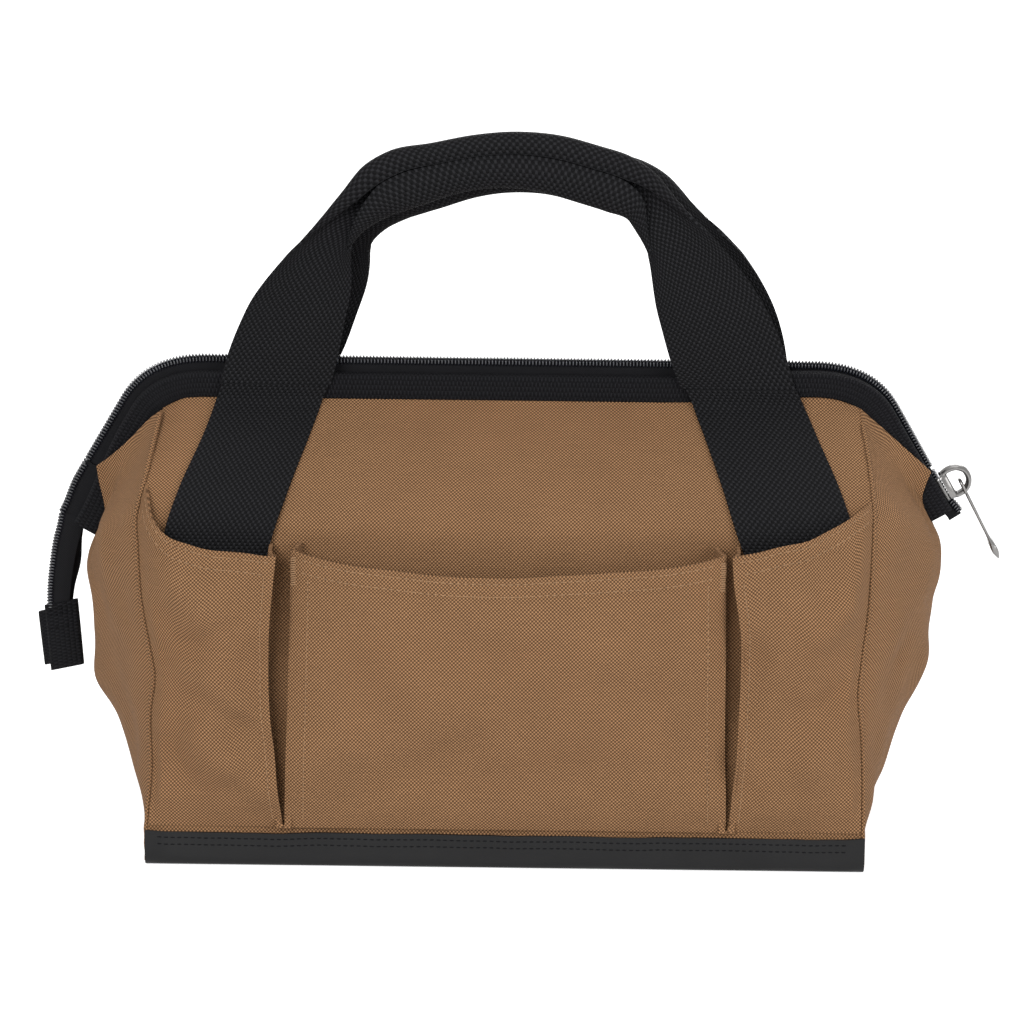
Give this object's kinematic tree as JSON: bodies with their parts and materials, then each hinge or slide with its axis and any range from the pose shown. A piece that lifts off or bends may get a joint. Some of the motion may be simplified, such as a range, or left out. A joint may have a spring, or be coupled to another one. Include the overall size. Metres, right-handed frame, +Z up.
{
  "type": "tool bag",
  "caption": "Gate-mouth canvas tool bag with a coated base, outside pockets, hinged rod-stiffened mouth, zip closure and two webbing handles.",
  "frame": {"origin": "centre of the base's underside, where the bag stands", "axes": "+X along the bag towards the zip slider, -Y to the front, +Z up"},
  "size_m": [0.4609, 0.2038, 0.3178],
  "materials": {
    "brown_canvas": "woven brown canvas with fine light and dark yarns",
    "black_webbing": "black ribbed webbing",
    "base_coated": "black coated cloth, slightly glossy",
    "zip_tape": "smooth black zip tape",
    "zip_teeth": "black nylon teeth",
    "frame_steel": "plain steel rod and rivets",
    "nickel": "polished nickel plate",
    "stiffener": "plain dark board"
  },
  "bodies": {
    "bag": {"base_wrap": "base_coated", "base_board": "stiffener", "front_panel": "brown_canvas", "front_centre_pocket": "brown_canvas", "front_left_pocket": "brown_canvas", "front_left_strap_end": "black_webbing", "front_right_pocket": "brown_canvas", "front_right_strap_end": "black_webbing", "rear_panel": "brown_canvas", "rear_centre_pocket": "brown_canvas", "rear_left_pocket": "brown_canvas", "rear_left_strap_end": "black_webbing", "rear_right_pocket": "brown_canvas", "rear_right_strap_end": "black_webbing", "left_gusset": "brown_canvas", "left_pivot_tongue": "black_webbing", "left_pivot_rivet": "frame_steel", "left_zip_end": "zip_teeth", "right_gusset": "brown_canvas", "right_pivot_tongue": "black_webbing", "right_pivot_rivet": "frame_steel", "right_zip_end": "zip_teeth"},
    "front_mouth": {"front_upper_panel": "brown_canvas", "front_binding": "black_webbing", "front_frame_rod": "frame_steel", "front_zip_tape": "zip_tape", "front_zip_teeth": "zip_teeth", "front_left_strap": "black_webbing", "front_right_strap": "black_webbing"},
    "rear_mouth": {"rear_upper_panel": "brown_canvas", "rear_binding": "black_webbing", "rear_frame_rod": "frame_steel", "rear_zip_tape": "zip_tape", "rear_zip_teeth": "zip_teeth", "rear_left_strap": "black_webbing", "rear_right_strap": "black_webbing"},
    "front_handle_loop": {"front_handle": "black_webbing"},
    "rear_handle_loop": {"rear_handle": "black_webbing"},
    "slider": {"zip_slider": "nickel"},
    "pull": {"zip_pull": "nickel"},
    "tail": {"zip_tail": "zip_tape", "zip_tail_tab": "black_webbing"}
  },
  "joints": [
    {"name": "front_mouth_opening", "type": "hinge", "parent": "bag", "child": "front_mouth", "pos_m": [0, 0, 0.143], "axis": [-1, 0, 0], "range_deg": [-50, 0]},
    {"name": "rear_mouth_opening", "type": "hinge", "parent": "bag", "child": "rear_mouth", "pos_m": [0, 0, 0.143], "axis": [1, 0, 0], "range_deg": [-50, 0]},
    {"name": "front_handle_fold", "type": "hinge", "parent": "front_mouth", "child": "front_handle_loop", "pos_m": [0, -0.0121, 0.2003], "axis": [1, 0, 0], "range_deg": [0, 105]},
    {"name": "rear_handle_fold", "type": "hinge", "parent": "rear_mouth", "child": "rear_handle_loop", "pos_m": [0, 0.0121, 0.2003], "axis": [-1, 0, 0], "range_deg": [0, 105]},
    {"name": "slider_travel", "type": "slide", "parent": "bag", "child": "slider", "axis": [-0.5145, 0, 0.8575], "range_m": [0, 0.042]},
    {"name": "pull_swing", "type": "hinge", "parent": "slider", "child": "pull", "pos_m": [0.21176, 0, 0.15332], "axis": [0, -1, 0], "range_deg": [0, 125]},
    {"name": "tail_swing", "type": "hinge", "parent": "bag", "child": "tail", "pos_m": [-0.2145, 0, 0.1335], "axis": [0, 1, 0], "range_deg": [0, 80]}
  ]
}
